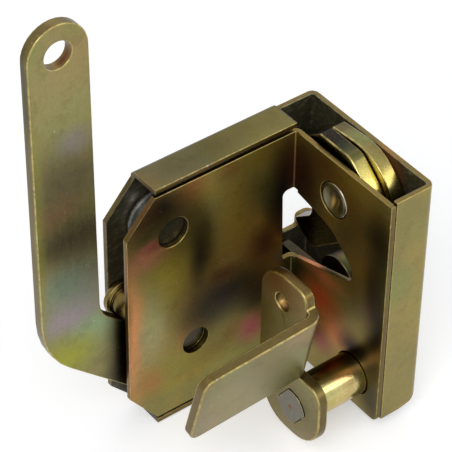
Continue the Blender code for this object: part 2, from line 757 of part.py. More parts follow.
def make_release_cam(material, parent):
    shaft_y = SHAFT_AXIS[0]
    outline = rounded(
        [
            *arc(SHAFT_AXIS, CAM_HUB_R, -120, 45),
            (CAM_NECK_Y, CAM_TAIL_UNDER, CAM_TAIL_R * 2),
            (CAM_TAIL_Y, CAM_TAIL_UNDER, CAM_TAIL_R),
            (CAM_TAIL_Y, CAM_TAIL_TOP, CAM_TAIL_R * 2),
            (shaft_y + CAM_CREST[0], CAM_TAIL_TOP + CAM_CREST_RISE / 2, CAM_CREST_R),
            (shaft_y + CAM_CREST[1], CAM_TAIL_TOP + CAM_CREST_RISE, CAM_CREST_R),
            (shaft_y + CAM_BACK[0], SHAFT_AXIS[1] + CAM_BACK[1], CAM_BACK_R),
        ]
    )
    shape = plate("X", CAM_X, CAM_END_X, outline, [circle(SHAFT_AXIS, SHAFT_R + FIT)])
    return add_mesh("release_cam", shape, material, parent)


def make_pawl(material, parent):
    ride = RATCHET_R + FIT
    nose_left = math.degrees(math.asin((PAWL_ARM_LEFT - ROTOR_AXIS[0]) / ride))
    nose_right = math.degrees(math.asin((PAWL_ARM_RIGHT - ROTOR_AXIS[0]) / ride))
    hub_top = SHAFT_AXIS[1] + PAWL_HUB_R
    outline = rounded(
        [
            *arc(SHAFT_AXIS, PAWL_HUB_R, -90, 65),
            *arc(SHOULDER_CENTRE, SHOULDER_R, 75, 235),
            (PAWL_ARM_RIGHT, SHOULDER_CENTRE[1], PAWL_CROOK_R),
            *arc(ROTOR_AXIS, ride, nose_right, nose_left),
            (PAWL_ARM_LEFT, hub_top + PAWL_NECK_R / 2, PAWL_NECK_R),
        ]
    )
    shape = plate("X", RATCHET_X, RATCHET_END_X, outline, [circle(SHAFT_AXIS, SHAFT_R + FIT)])
    return add_mesh("pawl", shape, material, parent)


def make_shaft_spring(material, parent):
    radius = SHAFT_R + SPRING_PLAY + SHAFT_SPRING_WIRE / 2
    middle = (CAM_END_X + RATCHET_X) / 2
    pitch = SHAFT_SPRING_WIRE * 1.12
    turns = 1.3
    points = torsion_spring("X", SHAFT_AXIS, middle, radius, pitch, turns, 90, SHAFT_SPRING_LEGS)
    wire("shaft_spring", points, SHAFT_SPRING_WIRE, material, parent)


def paddle_frame():
    """Way out of the paddle's front and way down along its fold, in the (Y, Z) plane."""
    tilt = math.radians(PADDLE_TILT)
    out = Vector((-math.cos(tilt), -math.sin(tilt)))
    down = Vector((math.sin(tilt), -math.cos(tilt)))
    return out, down


def make_release_lever(material, parent):
    out, down = paddle_frame()
    depth = LEVER_THICK + LEVER_BEND
    fold_middle = Vector(PADDLE_ORIGIN) - out * depth
    fold_top = fold_middle - down * PADDLE_TOP
    fold_bottom = fold_middle + down * PADDLE_BOTTOM
    foot_y = SHAFT_AXIS[0] - LEVER_FOOT_R - LEVER_FOOT_LEAN[0]
    heel_y = SHAFT_AXIS[0] + LEVER_FOOT_R + LEVER_FOOT_LEAN[1]
    foot_z = SHAFT_AXIS[1] - LEVER_FOOT_DROP
    outline = rounded(
        [
            (LEVER_LEFT_Y, LEVER_TOP_Z, LEVER_LOBE_R),
            (fold_top.x + LEVER_SHOULDER[0], LEVER_TOP_Z, LEVER_SHOULDER[1]),
            (*fold_top, 0),
            (*fold_bottom, 0),
            (fold_bottom.x - LEVER_LIP[0], fold_bottom.y - LEVER_LIP[1], LEVER_LIP_R),
            (foot_y, fold_bottom.y - LEVER_NECK_DROP, LEVER_NECK_R),
            (foot_y, foot_z, LEVER_FOOT_R),
            (heel_y, foot_z, LEVER_HEEL_R),
            (LEVER_LEFT_Y, SHAFT_AXIS[1] + LEVER_FOOT_R, LEVER_WAIST_R),
        ]
    )
    holes = [circle(LEVER_HOLE, LEVER_HOLE_R), double_d(FIT)]
    shape = plate("X", LEVER_OUT_X, LEVER_IN_X, outline, holes)
    middle = (fold_top + fold_bottom) / 2
    edge = face_at(shape, ((LEVER_OUT_X + LEVER_IN_X) / 2, middle.x, middle.y))
    bend_x = LEVER_OUT_X - LEVER_BEND
    axis = Vector((0, down.x, down.y))
    edge = fold(shape, edge, (bend_x, middle.x, middle.y), axis, 90)
    reach = PADDLE_END_X - bend_x
    drop = axis * abs(reach) * math.tan(math.radians(PADDLE_TURN))
    edge = run_on(shape, edge, Vector((reach, 0, 0)) + drop)
    centre = edge.calc_center_median()
    turn = Matrix.Rotation(math.radians(-PADDLE_TURN), 3, Vector((0, out.x, out.y)))
    bmesh.ops.rotate(shape, verts=edge.verts, cent=centre, matrix=turn)
    normal = Vector((0, out.x, out.y))
    ends = [side for side in edge.edges if abs((side.verts[0].co - side.verts[1].co).normalized() @ normal) > 0.9]
    bmesh.ops.bevel(
        shape, geom=ends, offset=PADDLE_CORNER_R, offset_type="OFFSET", segments=5, profile=0.5, affect="EDGES"
    )
    return add_mesh("release_lever", shape, material, parent)


def make_outer_arm(material, parent):
    right = ARM_LEFT_X + ARM_WIDTH
    eye = (ARM_LEFT_X + ARM_END_R, ARM_EYE_Z)
    hub_x, hub_z = ARM_AXIS
    hub_top = hub_z + ARM_HUB_R
    hub_bottom = hub_z - ARM_HUB_R
    outline = rounded(
        [
            (ARM_LEFT_X, ARM_ELBOW_Z, ARM_ELBOW_R),
            (ARM_HEEL[0] - PANEL_WIDTH, hub_bottom + ARM_HEEL[1], ARM_HEEL_R),
            (hub_x, hub_bottom, 0),
            *arc(ARM_AXIS, ARM_HUB_R, 20, 60),
            (hub_x + ARM_HUB_R + FINGER_ROOT[0], FINGER_TOP - FINGER_DEPTH, FINGER_ROOT_R),
            (FINGER_END_X, FINGER_TOP - FINGER_DEPTH, FINGER_TIP_R[0]),
            (FINGER_END_X, FINGER_TOP, FINGER_TIP_R[1]),
            (hub_x + ARM_HUB_R + FINGER_ROOT[1], FINGER_TOP, FINGER_ROOT_R),
            *arc(ARM_AXIS, ARM_HUB_R, 145, 175),
            (ARM_CROOK_X - PANEL_WIDTH, hub_top, ARM_CROOK_R),
            (right, ARM_CROOK_Z, ARM_CROOK_R),
            *arc(eye, ARM_END_R, 90, 270),
        ]
    )
    holes = [circle(eye, ARM_EYE_R), circle(ARM_AXIS, STUD_R + FIT)]
    shape = plate("Y", ARM_Y, ARM_BACK_Y, outline, holes)
    return add_mesh("outer_arm", shape, material, parent)


def make_studs(bright, gold, dark, parent):
    front = SHEET + FIT
    seat = BACK_IN - FIT
    collar = ARM_BACK_Y + FIT
    chamfer = STUD_CHAMFER
    tail = [(seat, RIVET_TAIL_R), (BACK_OUT, RIVET_TAIL_R), (BACK_OUT, 0)]
    boss = [(front, 0), (front, BOSS_R - chamfer), (front + chamfer, BOSS_R), (seat, BOSS_R), *tail]
    add_mesh("upper_spacer_boss", turned("Y", BOSS_AXIS, boss, sides=40), bright, parent)
    stop = [
        (front, 0),
        (front, STOP_TIP_R),
        (ARM_Y, STOP_R),
        (collar, STOP_R),
        (collar, STOP_COLLAR_R - chamfer),
        (collar + chamfer, STOP_COLLAR_R),
        (seat, STOP_COLLAR_R),
        *tail,
    ]
    add_mesh("arm_stop_stud", turned("Y", STOP_AXIS, stop), gold, parent)
    stud = [
        (front, 0),
        (front, STUD_R - chamfer / 2),
        (front + chamfer / 2, STUD_R),
        (collar, STUD_R),
        (collar, STUD_COLLAR_R),
        (seat, STUD_COLLAR_R),
        *tail,
    ]
    add_mesh("arm_pivot_stud", turned("Y", ARM_AXIS, stud), dark, parent)
    ring = washer("Y", ARM_AXIS, front, ARM_Y - FIT, STUD_R + FIT, ARM_WASHER_R)
    add_mesh("arm_front_washer", ring, gold, parent)


def make_arm_return_spring(material, parent):
    radius = STUD_COLLAR_R + SPRING_PLAY + ARM_SPRING_WIRE / 2
    middle = (ARM_BACK_Y + BACK_IN) / 2
    pitch = ARM_SPRING_WIRE * 1.1
    points = torsion_spring("Y", ARM_AXIS, middle, radius, pitch, 1.3, 100, ARM_SPRING_LEGS)
    wire("arm_return_spring", points, ARM_SPRING_WIRE, material, parent)


def build():
    clear_scene()
    zinc = metal("yellow_zinc", (0.42, 0.36, 0.17), 0.33)
    casing_zinc = metal("casing_zinc", (0.38, 0.34, 0.17), 0.38)
    arm_zinc = metal("arm_zinc", (0.45, 0.42, 0.25), 0.36)
    rotor_metal = metal("rotor_zinc", (0.34, 0.30, 0.16), 0.42)
    shaft_metal = metal("shaft_zinc", (0.62, 0.52, 0.24), 0.22)
    steel = metal("grey_steel", (0.42, 0.42, 0.40), 0.35)
    bright = metal("bright_steel", (0.55, 0.56, 0.57), 0.22)
    spring_steel = metal("spring_steel", (0.20, 0.20, 0.21), 0.35)
    lock = joint_empty("lock_frame", LOCK_ORIGIN)
    rotor_axis = joint_empty("rotor_axis", (HOOK_X, *ROTOR_AXIS), lock)
    shaft_axis = joint_empty("shaft_axis", (0, *SHAFT_AXIS), lock)
    arm_axis = joint_empty("arm_axis", (ARM_AXIS[0], ARM_Y, ARM_AXIS[1]), lock)
    make_casing(casing_zinc, lock)
    make_cover_plate(zinc, lock)
    make_studs(bright, zinc, steel, lock)
    make_rotor_pivot(steel, steel, lock)
    make_rotor_spring(spring_steel, lock)
    make_shaft_spring(spring_steel, lock)
    make_arm_return_spring(spring_steel, lock)
    make_hook_plate(rotor_metal, rotor_axis)
    make_ratchet_plate(rotor_metal, rotor_axis)
    make_claw_rivets(steel, rotor_axis)
    make_release_shaft(shaft_metal, shaft_axis)
    make_shaft_end_washer(steel, shaft_axis)
    make_release_cam(rotor_metal, shaft_axis)
    make_pawl(rotor_metal, shaft_axis)
    make_release_lever(zinc, shaft_axis)
    make_outer_arm(arm_zinc, arm_axis)


build()
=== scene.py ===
"""Looks of the cab door rotary latch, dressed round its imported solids."""

import json
import math

import bpy
from mathutils import Matrix, Vector


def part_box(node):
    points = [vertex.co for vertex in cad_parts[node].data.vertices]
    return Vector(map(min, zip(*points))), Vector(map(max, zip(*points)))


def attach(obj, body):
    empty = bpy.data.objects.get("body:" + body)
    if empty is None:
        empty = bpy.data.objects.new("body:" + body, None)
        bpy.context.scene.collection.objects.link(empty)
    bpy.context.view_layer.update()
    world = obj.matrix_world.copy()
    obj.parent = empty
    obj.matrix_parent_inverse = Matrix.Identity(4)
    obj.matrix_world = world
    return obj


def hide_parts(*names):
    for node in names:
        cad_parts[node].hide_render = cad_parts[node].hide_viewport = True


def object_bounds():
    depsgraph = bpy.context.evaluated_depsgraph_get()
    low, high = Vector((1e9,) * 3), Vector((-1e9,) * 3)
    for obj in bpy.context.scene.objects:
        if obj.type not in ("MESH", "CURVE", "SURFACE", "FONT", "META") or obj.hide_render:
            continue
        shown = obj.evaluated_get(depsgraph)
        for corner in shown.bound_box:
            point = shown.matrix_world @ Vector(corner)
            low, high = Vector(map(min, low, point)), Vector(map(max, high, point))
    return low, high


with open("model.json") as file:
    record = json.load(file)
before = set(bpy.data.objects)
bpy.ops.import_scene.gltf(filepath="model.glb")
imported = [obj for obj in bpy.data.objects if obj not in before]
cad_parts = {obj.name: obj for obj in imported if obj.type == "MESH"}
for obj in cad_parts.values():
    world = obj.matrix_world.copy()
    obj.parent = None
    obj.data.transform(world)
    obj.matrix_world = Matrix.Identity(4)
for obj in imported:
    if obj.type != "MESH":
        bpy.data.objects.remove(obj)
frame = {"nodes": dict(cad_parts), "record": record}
solid_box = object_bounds()

NODES = frame["nodes"]
BODY_OF = {node: body for body, nodes in frame["record"]["behaviour"]["bodies"].items() for node in nodes}
MM = 0.001
# Thickness of the folded sheets, in millimetres
SHEET = 2.1
# How near to a wall the dark of the box begins, in millimetres
DARK_MARGIN = 0.4
# A patch of faces below this area, in square metres, has its edges eased by this share only
SMALL_PATCH = 75e-6
SMALL_SHARE = 0.35
# Faces within the first angle, in degrees, belong to one patch, and an edge sharper than the second is eased
PATCH_ANGLE = 35
SHARP_ANGLE = 34
# Edges up to this angle, in degrees, are shaded smooth, and faces within the last one are merged as flat
SMOOTH_ANGLE = 50
FLAT_ANGLE = 0.5
# Points nearer than this are merged, and the tool that presses a dish stands this proud, both in millimetres
MERGE = 0.02
PROUD = 0.5

# Places in the casing's frame: the box's left side, the cover's front, both in metres, and in millimetres the
# length of the shaft's bare end and the centres that rivet, boss and stud were turned about
BOX_LEFT = 36 * MM
COVER_FRONT = -14 * MM
SHAFT_END = 2.9
RIVET_CENTRE = (0, -35.7, 35.4)
BOSS_CENTRE = (-16.6, 0, 33.1)
STUD_CENTRE = (-7.0, 0, -23.4)

# The camera stands where the photograph was taken from
CAMERA_PLACE = (-0.36308, -0.48967, 0.55483)
CAMERA_RIGHT = (0.79539, -0.60601, 0.01021)
CAMERA_UP = (0.39471, 0.53070, 0.75003)
CAMERA_BACK = (-0.45995, -0.59254, 0.66131)
CAMERA_LENS = 184.28
CAMERA_SENSOR = 36.0

# The floor lies this far below the part, in metres
FLOOR_GAP = 0.0005
# Both the world and the floor look white to the camera and in reflections, and light the part by this much
SOFT_LIGHT = 0.42
# Lamps: place, point that each looks at, size in metres and power in watts
LAMPS = {
    "key_softbox": ((-0.75, -0.55, 0.95), (0, -0.02, 0.02), (0.7, 0.7), 6.8),
    "rear_softbox": ((0.55, 0.75, 0.85), (0, 0, 0), (0.8, 0.5), 1.0),
    "side_softbox": ((0.60, -0.85, 0.72), (0, -0.03, 0), (0.5, 0.5), 2.1),
}


def shade(red, green, blue):
    """A colour as seen on a screen, from 0 to 255, as the shaders want it."""
    linear = []
    for part in (red, green, blue):
        value = part / 255
        linear.append(value / 12.92 if value <= 0.04045 else ((value + 0.055) / 1.055) ** 2.4)
    return (*linear, 1.0)


class Wire:
    """A value in a node tree: sums with numbers and other values add the nodes."""

    def __init__(self, nodes, socket):
        self.nodes = nodes
        self.socket = socket

    def sum(self, operation, first, second):
        return self.nodes.node("ShaderNodeMath", {"operation": operation}, {0: first, 1: second})

    def __add__(self, other):
        return self.sum("ADD", self, other)

    def __radd__(self, other):
        return self.sum("ADD", other, self)

    def __sub__(self, other):
        return self.sum("SUBTRACT", self, other)

    def __rsub__(self, other):
        return self.sum("SUBTRACT", other, self)

    def __mul__(self, other):
        return self.sum("MULTIPLY", self, other)

    def __rmul__(self, other):
        return self.sum("MULTIPLY", other, self)

    def __gt__(self, other):
        return self.sum("GREATER_THAN", self, other)

    def __lt__(self, other):
        return self.sum("LESS_THAN", self, other)


class Nodes:
    """A node tree, and the one way in which nodes are added to it."""

    def __init__(self, tree):
        self.tree = tree

    def node(self, kind, settings, sockets, output=0):
        made = self.tree.nodes.new(kind)
        for name, value in settings.items():
            setattr(made, name, value)
        for name, value in sockets.items():
            if isinstance(value, Wire):
                self.tree.links.new(value.socket, made.inputs[name])
            else:
                made.inputs[name].default_value = value
        return Wire(self, made.outputs[output])

    def seen_directly(self):
        """1 to the camera and in reflections and glass, 0 to the light that falls on the part."""
        seen = self.node("ShaderNodeLightPath", {}, {}, "Is Camera Ray")
        for kind in ("Is Glossy Ray", "Is Transmission Ray"):
            seen = seen.sum("MAXIMUM", seen, self.node("ShaderNodeLightPath", {}, {}, kind))
        return seen


class Finish(Nodes):
    """One material, with the few steps that its patterns are made of."""

    def __init__(self, name):
        self.material = bpy.data.materials.new(name)
        self.material.use_nodes = True
        super().__init__(self.material.node_tree)
        self.shader = self.tree.nodes["Principled BSDF"]
        self.place = self.node("ShaderNodeTexCoord", {}, {}, "Object")

    def into(self, name, value):
        """Sets or links one socket of the surface shader."""
        if isinstance(value, Wire):
            self.tree.links.new(value.socket, self.shader.inputs[name])
        else:
            self.shader.inputs[name].default_value = value

    def blend(self, factor, under, over):
        """Mixes one colour over another."""
        settings = {"data_type": "RGBA", "blend_type": "MIX", "clamp_factor": True}
        return self.node("ShaderNodeMix", settings, {0: factor, 6: under, 7: over}, 2)

    def ramp(self, value, low, high, start=0.0, end=1.0):
        """Smooth step of a value from start at low to end at high."""
        settings = {"interpolation_type": "SMOOTHSTEP"}
        sockets = {"Value": value, "From Min": low, "From Max": high, "To Min": start, "To Max": end}
        return self.node("ShaderNodeMapRange", settings, sockets)

    def noise(self, place, scale, detail=3.0, roughness=0.5, output=0):
        sockets = {"Vector": place, "Scale": scale, "Detail": detail, "Roughness": roughness}
        return self.node("ShaderNodeTexNoise", {}, sockets, output)

    def vector(self, operation, first, second):
        return self.node("ShaderNodeVectorMath", {"operation": operation}, {0: first, 1: second})

    def length(self, value):
        return self.node("ShaderNodeVectorMath", {"operation": "LENGTH"}, {0: value}, 1)

    def scaled(self, colour, factor):
        return self.node("ShaderNodeVectorMath", {"operation": "SCALE"}, {0: colour, "Scale": factor})

    def stretched(self, place, sizes, turn=(0.0, 0.0, 0.0)):
        """The place turned and then scaled on each axis, for a pattern that runs one way."""
        turned = self.node("ShaderNodeMapping", {}, {"Vector": place, "Rotation": turn})
        return self.vector("MULTIPLY", turned, sizes)

    def warped(self, amount, scale):
        """The place pushed about by a soft noise, so that no patch has a plain outline."""
        soft = self.noise(self.place, scale, 2.0, 0.5, 1)
        centred = self.vector("SUBTRACT", soft, (0.5, 0.5, 0.5))
        return self.vector("ADD", self.place, self.scaled(centred, amount))

    def spot(self, place, centre, radii):
        """1 at a centre, falling softly to 0 round an ellipsoid, all in millimetres."""
        offset = self.vector("SUBTRACT", place, [part * MM for part in centre])
        steps = self.vector("DIVIDE", offset, [part * MM for part in radii])
        return self.ramp(self.length(steps), 0.0, 1.25, 1.0, 0.0)

    def patched(self, colour, place, patches, tone=None):
        """Lays patches over a colour. Each has a centre and radii in millimetres, a tint and a strength."""
        for centre, radii, tint, strength in patches:
            if tone is not None:
                tint = self.scaled(tint[:3], tone)
            colour = self.blend(self.spot(place, centre, radii) * strength, colour, tint)
        return colour

    def attribute(self, name):
        return self.node("ShaderNodeAttribute", {"attribute_name": name}, {}, 2)

    def split(self, value):
        """The three parts of a place or a colour."""
        first = self.node("ShaderNodeSeparateXYZ", {}, {0: value})
        return [Wire(self, output) for output in first.socket.node.outputs]


OLIVE = shade(128, 119, 66)
GOLD = shade(150, 132, 62)
STRAW = shade(176, 160, 106)
ROSE = shade(178, 124, 98)
LEAF = shade(118, 134, 76)
TEAL = shade(124, 142, 130)
VIOLET = shade(134, 124, 132)
# Dark brown: partly the plating's own thick passivation, partly a painted reflection of darker parts
UMBER = shade(52, 42, 30)
# Near black, for painted shade and dark reflections in corners and under the cover
SHADE_BLACK = shade(30, 27, 23)
BRIGHT = shade(206, 186, 118)
STEEL = shade(128, 126, 114)
PALE = shade(196, 198, 196)


# Patches of colour, where the photograph has them. Each has a centre and radii in millimetres, a tint and a
# strength from 0 to 1. The lists of tints lie under the wear, and the glows, glints and marks lie over it.
# On panel A and side B: the plating's own rose, green and gold hues, and among them dark brown and near black patches
# of painted shade and painted reflection of darker parts
COVER_HUES_AND_SHADE = [
    ((-5, -14, 50), (50, 30, 10), GOLD, 0.5),
    ((-21, -14, 46), (17, 30, 14), UMBER, 1.0),
    ((-8, -14, 50), (8, 30, 9), shade(150, 92, 48), 0.6),
    ((8, -14, 49), (7, 30, 6), shade(120, 70, 40), 0.55),
    ((10, -14, 24), (12, 30, 27), shade(140, 118, 50), 1.0),
    ((20, -14, 48), (10, 30, 9), shade(140, 124, 56), 0.8),
    ((-19, -14, 15), (13, 30, 17), shade(178, 160, 68), 1.0),
    ((-28, -14, 27), (11, 30, 8), shade(216, 150, 112), 1.0),
    ((-25, -14, 31), (8, 30, 3.5), shade(206, 116, 104), 0.85),
    ((-16, -14, 31), (8, 30, 3), shade(120, 124, 60), 0.6),
    ((-28, -14, 2), (9, 30, 18), shade(142, 136, 84), 0.8),
    ((-35, -14, -6), (6, 30, 46), shade(196, 134, 84), 0.95),
    ((-26, -14, -8), (8, 30, 16), shade(158, 152, 108), 0.7),
    ((-6, -14, 16), (5, 30, 20), UMBER, 0.85),
    ((6, -14, -8), (24, 30, 15), shade(54, 47, 40), 1.0),
    ((6, -14, 2), (8, 30, 5), shade(98, 56, 30), 0.6),
    ((24, -14, 8), (9, 30, 12), shade(66, 38, 30), 0.8),
    ((20, -14, -16), (12, 30, 13), UMBER, 0.8),
    ((18, -14, -31), (9, 30, 9), shade(164, 84, 84), 0.95),
    ((9, -14, -27), (6, 30, 7), shade(134, 92, 40), 0.5),
    # Painted shade in panel A's inner corner by side B
    ((31, -14, 30), (9, 22, 24), SHADE_BLACK, 1.0),
    ((31, -14, -3), (4, 22, 5), TEAL, 0.5),
    ((-16, -14, -30), (18, 30, 12), shade(134, 126, 48), 0.8),
    ((-27, -14, -33), (8, 30, 9), shade(160, 108, 58), 0.7),
    ((-10, -14, -18), (9, 30, 9), shade(120, 74, 46), 0.45),
    ((0, -14, -34), (14, 30, 8), shade(122, 104, 44), 0.6),
    # The top flange painted darker: a painted shade on its upward faces
    ((-6, -4, 66), (70, 12, 7), shade(94, 86, 50), 0.9),
    ((-2, -14, -12), (14, 30, 10), shade(52, 46, 38), 0.6),
    # Side B: its own rose and brown hues, with painted shade in its darker corners
    ((36, -18, 36), (8, 12, 18), shade(98, 62, 42), 0.95),
    ((36, -31, 46), (8, 12, 9), shade(122, 78, 40), 0.8),
    ((36, -42, 38), (8, 17, 15), shade(122, 96, 46), 0.9),
    ((36, -60, 42), (8, 9, 12), shade(104, 88, 40), 0.7),
    ((36, -61, 32), (8, 8, 14), SHADE_BLACK, 0.8),
    ((36, -58, 8), (8, 7, 22), shade(74, 44, 30), 0.9),
    ((36, -62, -10), (8, 6, 40), UMBER, 0.9),
    ((36, -48, 2), (8, 7, 12), shade(116, 90, 34), 0.6),
    ((36, -24, -6), (8, 10, 9), shade(92, 76, 34), 0.7),
    ((36, -18, -12), (8, 7, 10), SHADE_BLACK, 0.95),
    ((36, -32, -15), (8, 14, 12), shade(186, 84, 44), 1.0),
    ((36, -40, -24), (8, 14, 9), shade(198, 120, 74), 0.95),
    ((36, -33, -33), (8, 9, 8), shade(152, 74, 74), 0.85),
    # Painted shadow of the shaft on side B
    ((36, -50, -24), (8, 9, 8), shade(52, 38, 34), 1.0),
    ((36, -58, -27), (8, 8, 9), shade(40, 32, 27), 0.9),
    ((36, -58, -38), (8, 12, 12), shade(78, 72, 30), 0.95),
    ((36, -63, -44), (8, 8, 12), UMBER, 0.7),
]
ARM_HUES_AND_SHADE = [
    ((-58, -10, 108), (30, 30, 22), shade(146, 138, 92), 0.7),
    ((-56, -10, 73), (30, 30, 20), shade(96, 86, 62), 0.9),
    ((-60, -10, 60), (14, 30, 9), shade(126, 92, 64), 0.6),
    ((-56, -10, 47), (30, 30, 11), shade(84, 76, 54), 0.95),
    ((-54, -10, 20), (22, 30, 21), shade(134, 136, 126), 0.9),
    ((-58, -10, 30), (12, 30, 9), shade(118, 142, 116), 0.7),
    ((-57, -10, 12), (14, 30, 8), shade(150, 136, 142), 0.8),
    ((-47, -10, 3), (12, 30, 9), shade(136, 158, 122), 0.8),
    ((-60, -10, -6), (16, 30, 12), shade(148, 148, 60), 1.0),
    ((-52, -10, 88), (9, 30, 7), VIOLET, 0.5),
    # Painted shade and dark reflection where the arm passes under the cover
    ((-36, -10, -10), (8, 16, 32), SHADE_BLACK, 1.0),
    ((-34, -10, -26), (12, 16, 12), SHADE_BLACK, 0.9),
]
# The casing's top painted darker: a painted shade on its upward faces
CASING_TOP_SHADE = [((-4, -6, 62), (90, 22, 18), shade(48, 45, 24), 1.0)]
WALL_GLOW = [
    # A painted orange reflection on the inside of the outer wall; the two after it darken the casing's left edge and
    # chamfer
    ((53, -43, 47), (5, 9, 7), shade(176, 110, 46), 0.9),
    ((-38, -1, 8), (7, 3, 64), shade(62, 57, 38), 0.85),
    ((-30, -1, 54), (10, 3, 12), shade(58, 52, 36), 0.85),
]
LIP_GLOW = [
    ((36, -27, -2), (8, 18, 4.5), shade(206, 128, 88), 1.0),
    ((-37.5, -13, -6), (2.6, 6, 60), shade(116, 80, 46), 0.8),
    ((-30, -13, 47), (10, 6, 13), shade(92, 62, 38), 0.7),
]
HOOK_HIGHLIGHT_AND_DARKS = [
    # A painted highlight on the nose, then darker patches on the top and the lower parts
    ((42, -47, 38), (24, 14, 20), shade(222, 204, 116), 1.0),
    ((42, -14, 56), (30, 20, 12), shade(27, 24, 19), 1.0),
    ((42, -28, 56), (30, 14, 11), shade(27, 24, 19), 1.0),
    ((44, -14, 20), (14, 20, 26), shade(44, 41, 34), 1.0),
    ((41, -6, 30), (8, 16, 26), shade(40, 37, 30), 0.9),
]
CLAW_HIGHLIGHT_AND_DARKS = [
    # A painted highlight on the nose, then darker patches on the lower parts
    ((42, -47, 38), (24, 14, 20), shade(222, 204, 116), 1.0),
    ((44, -14, 20), (14, 20, 26), shade(44, 41, 34), 1.0),
    ((41, -6, 30), (8, 16, 26), shade(40, 37, 30), 0.9),
]
HOLE_GLOW = [((10, -43.7, 6.5), (1.6, 2.8, 2.8), shade(226, 178, 116), 0.95)]
LEVER_TINTS = [
    ((10, -41, 17), (9, 11, 12), shade(126, 84, 40), 0.95),
    ((10, -52, -8), (9, 14, 14), shade(108, 106, 50), 0.7),
    ((-14, -58, -20), (40, 30, 60), shade(146, 138, 106), 0.6),
    ((10, -54, -34), (9, 20, 14), shade(98, 88, 52), 0.8),
]
SHAFT_REFLECTION_BANDS = [
    # Painted reflections in bands round the shaft: a dark top, an orange pink band and a gold underside, with a
    # brownish patch near side B
    ((10, -51, -29), (90, 6, 4), shade(36, 27, 23), 1.0),
    ((10, -55.2, -31.2), (90, 2.2, 2.2), shade(214, 128, 84), 0.95),
    ((10, -56.5, -40), (90, 2.5, 3), shade(136, 124, 58), 0.7),
    ((28, -50.8, -36), (5, 12, 12), shade(150, 92, 60), 0.7),
]
ARM_GLOW = [
    ((-53, -7.6, 121), (5, 1.5, 9), shade(104, 58, 44), 0.95),
    ((-69.5, -6.6, 112), (4, 2.6, 34), shade(66, 62, 36), 1.0),
    ((-67, -9.8, 50), (2.6, 2, 80), shade(138, 134, 66), 0.6),
]
BOSS_HIGHLIGHT_AND_SHADE = [
    # A painted shade band where the boss meets the back plate, and a painted highlight streak beside it
    ((-16.6, -2.2, 33.1), (60, 0.9, 60), shade(48, 48, 44), 0.9),
    ((-16.6, -3.9, 33.1), (60, 0.75, 60), shade(236, 238, 236), 0.95),
]
DISH_REFLECTIONS = [
    # Painted reflections in the rivet's dish: dark patches and bright golden streaks
    ((36.5, -37.6, 38.6), (3, 2.6, 3.4), shade(60, 56, 38), 0.8),
    ((37, -34.4, 33.2), (3, 1.0, 3.0), shade(240, 214, 140), 0.95),
    ((37, -36.8, 34.2), (3, 0.7, 2.6), shade(226, 196, 116), 0.9),
    ((37, -33.0, 36.2), (3, 0.8, 2.0), shade(70, 62, 36), 0.8),
]
PUNCH_MARK = [((8, -50.8, -36.2), (2, 1.3, 1.3), shade(150, 100, 66), 0.8)]


def drifting(finish, place, base, second, flow):
    """The plating's two tones, drifting into each other, with clouds of rose, green and violet."""
    drift = finish.noise(place, 42.0 * flow, 3.0, 0.55)
    hue = finish.noise(place, 27.0 * flow, 2.0, 0.5, 1)
    colour = finish.blend(finish.ramp(drift, 0.38, 0.62), base, second)
    clouds = ((ROSE, 0.52, 0.68, 0.26), (LEAF, 0.52, 0.68, 0.34), (VIOLET, 0.56, 0.72, 0.22))
    for part, (tint, low, high, most) in zip(finish.split(hue), clouds):
        colour = finish.blend(finish.ramp(part, low, high, 0.0, most), colour, tint)
    return colour


def scratched(finish):
    """Fine lines that run two ways."""
    streaks = finish.noise(finish.stretched(finish.place, (1900, 1900, 60), (0.3, 0.5, 0.9)), 1.0, 2.0, 0.5)
    others = finish.noise(finish.stretched(finish.place, (70, 2100, 2100), (0.8, 0.2, 0.4)), 1.0, 2.0, 0.5)
    return finish.ramp(streaks, 0.69, 0.75) + finish.ramp(others, 0.70, 0.76)


def chipped(finish):
    """Small round chips, thinly spread."""
    specks = finish.node("ShaderNodeTexVoronoi", {}, {"Vector": finish.place, "Scale": 340.0})
    sparse = finish.noise(finish.place, 95.0, 2.0, 0.5)
    return finish.ramp(specks, 0.08, 0.13, 1.0, 0.0) * finish.ramp(sparse, 0.60, 0.68)


def dust_and_shade(finish):
    """Dull dust in streaks, laid where the box is shaded, so it also paints that shade."""
    dusty = finish.noise(finish.stretched(finish.place, (260, 700, 700), (0.5, 0.2, 0.1)), 1.0, 4.0, 0.65)
    return finish.blend(finish.ramp(dusty, 0.46, 0.70), shade(48, 46, 37), shade(104, 99, 78))


